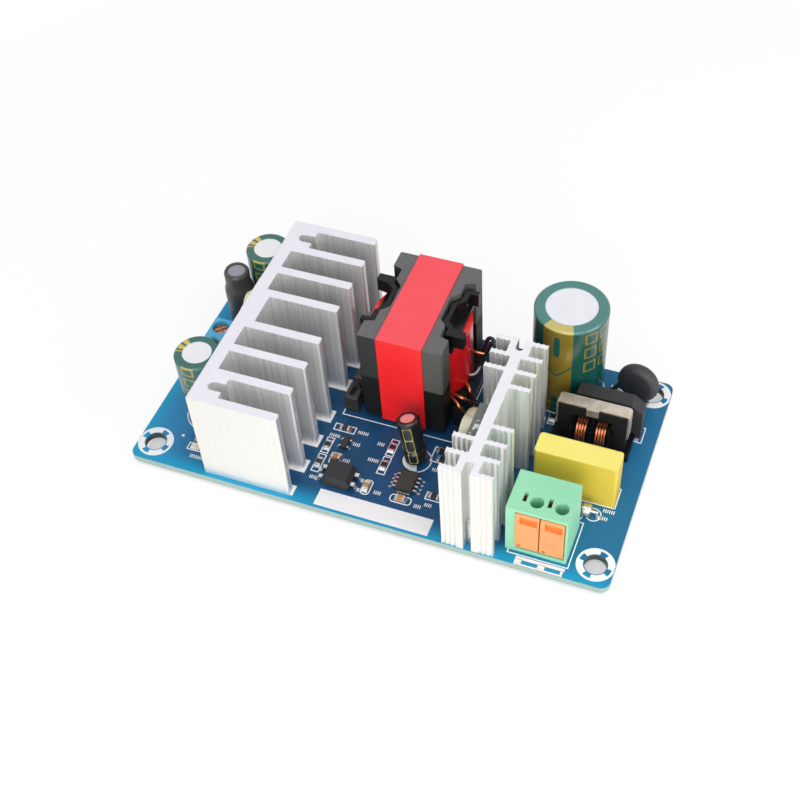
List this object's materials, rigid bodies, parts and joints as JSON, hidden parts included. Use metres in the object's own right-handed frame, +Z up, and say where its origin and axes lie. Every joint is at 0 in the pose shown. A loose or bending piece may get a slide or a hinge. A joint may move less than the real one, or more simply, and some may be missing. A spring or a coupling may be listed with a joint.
{
  "type": "open-frame power supply module",
  "caption": "Open-frame mains power supply board with finned heatsinks, a taped transformer, capacitors, a push-lever input terminal and a screw output terminal.",
  "frame": {"origin": "centre of the four mounting holes, on the underside of the board", "axes": "+X along the board towards the mains input, +Y across the board to the back edge, +Z up from the board"},
  "size_m": [0.107, 0.0562, 0.0299],
  "materials": {
    "board_laminate": "glossy solder mask on glass-epoxy",
    "solder": "shiny soft solder",
    "extruded_aluminium": "mill finish with drawn lines",
    "tinned_metal": "tinned",
    "device_plastic": "moulded epoxy",
    "bush_plastic": "natural nylon",
    "plated_steel": "plated, satin",
    "ferrite": "pressed and ground",
    "bobbin_plastic": "moulded",
    "winding_tape": "polyester tape",
    "copper": "enamelled wire",
    "can_aluminium": "bright drawn can",
    "bulk_sleeve": "shrink sleeve",
    "output_sleeve": "shrink sleeve",
    "bias_sleeve": "shrink sleeve",
    "bung_rubber": "moulded",
    "yellow_case": "moulded",
    "dark_coating": "dipped resin",
    "fuse_coating": "dipped resin",
    "green_plastic": "moulded polyamide",
    "orange_plastic": "moulded polyamide",
    "spring_copper": "copper alloy strip",
    "blue_plastic": "moulded polyamide",
    "screw_metal": "plated screw",
    "black_sleeve": "shrink sleeve",
    "cream_coating": "dipped resin",
    "resistor_film": "glazed film",
    "chip_ceramic": "fired",
    "led_lens": "clear cast"
  },
  "bodies": {
    "board": {"circuit_board": "board_laminate", "solder_joints": "solder", "output_heatsink": "extruded_aluminium", "input_heatsink": "extruded_aluminium", "heatsink_pins": "tinned_metal", "rectifier_body": "device_plastic", "rectifier_tab": "tinned_metal", "rectifier_bush": "bush_plastic", "transistor_body": "device_plastic", "transistor_leads": "tinned_metal", "device_screws": "plated_steel", "transformer_core_top": "ferrite", "transformer_core_bottom": "ferrite", "transformer_bobbin": "bobbin_plastic", "transformer_winding": "winding_tape", "transformer_tape": "winding_tape", "transformer_pins": "tinned_metal", "transformer_leads": "copper", "bulk_capacitor_can": "can_aluminium", "bulk_capacitor_sleeve": "bulk_sleeve", "front_capacitor_can": "can_aluminium", "front_capacitor_sleeve": "output_sleeve", "back_capacitor_can": "can_aluminium", "back_capacitor_sleeve": "output_sleeve", "bias_capacitor_can": "can_aluminium", "bias_capacitor_sleeve": "bias_sleeve", "capacitor_bungs": "bung_rubber", "wire_leads": "tinned_metal", "choke_core_left": "ferrite", "choke_core_right": "ferrite", "choke_bobbin": "bobbin_plastic", "choke_winding_left": "copper", "choke_winding_right": "copper", "choke_clip": "plated_steel", "choke_pins": "tinned_metal", "bridge_rectifier_body": "device_plastic", "bridge_rectifier_leads": "tinned_metal", "x_capacitor": "yellow_case", "thermistor_disc": "dark_coating", "fuse_body": "fuse_coating", "input_terminal_housing": "green_plastic", "input_clamp_left": "spring_copper", "input_clamp_right": "spring_copper", "output_terminal_housing": "blue_plastic", "output_contacts": "spring_copper", "output_inductor_core": "ferrite", "output_inductor_sleeve": "black_sleeve", "ceramic_capacitor": "cream_coating", "optocoupler_body": "device_plastic", "control_chips": "device_plastic", "chip_leads": "tinned_metal", "chip_resistors": "resistor_film", "chip_capacitors": "chip_ceramic", "status_led": "led_lens"},
    "lever_left": {"input_lever_left": "orange_plastic"},
    "lever_right": {"input_lever_right": "orange_plastic"},
    "screw_front": {"output_screw_front": "screw_metal"},
    "screw_back": {"output_screw_back": "screw_metal"},
    "clamp_front": {"output_clamp_front": "plated_steel"},
    "clamp_back": {"output_clamp_back": "plated_steel"}
  },
  "joints": [
    {"name": "lever_left_press", "type": "hinge", "parent": "board", "child": "lever_left", "pos_m": [0.03589, -0.02465, 0.0044], "axis": [-1, 0, 0], "range_deg": [0, 4], "stiffness_Nm_per_rad": 0.02},
    {"name": "lever_right_press", "type": "hinge", "parent": "board", "child": "lever_right", "pos_m": [0.04097, -0.02465, 0.0044], "axis": [-1, 0, 0], "range_deg": [0, 4], "stiffness_Nm_per_rad": 0.02},
    {"name": "screw_front_turn", "type": "hinge", "parent": "board", "child": "screw_front", "pos_m": [-0.04545, -0.00099, 0.0096], "axis": [0, 0, -1], "range_deg": [0, 1080]},
    {"name": "clamp_front_rise", "type": "slide", "parent": "board", "child": "clamp_front", "axis": [0, 0, 1], "range_m": [0, 0.0014]},
    {"name": "screw_back_turn", "type": "hinge", "parent": "board", "child": "screw_back", "pos_m": [-0.04545, 0.00409, 0.0096], "axis": [0, 0, -1], "range_deg": [0, 1080]},
    {"name": "clamp_back_rise", "type": "slide", "parent": "board", "child": "clamp_back", "axis": [0, 0, 1], "range_m": [0, 0.0014]}
  ],
  "couplings": [
    {"joint": "screw_front_turn", "follows": "clamp_front_rise", "rad_per_m": 13464},
    {"joint": "screw_back_turn", "follows": "clamp_back_rise", "rad_per_m": 13464}
  ]
}
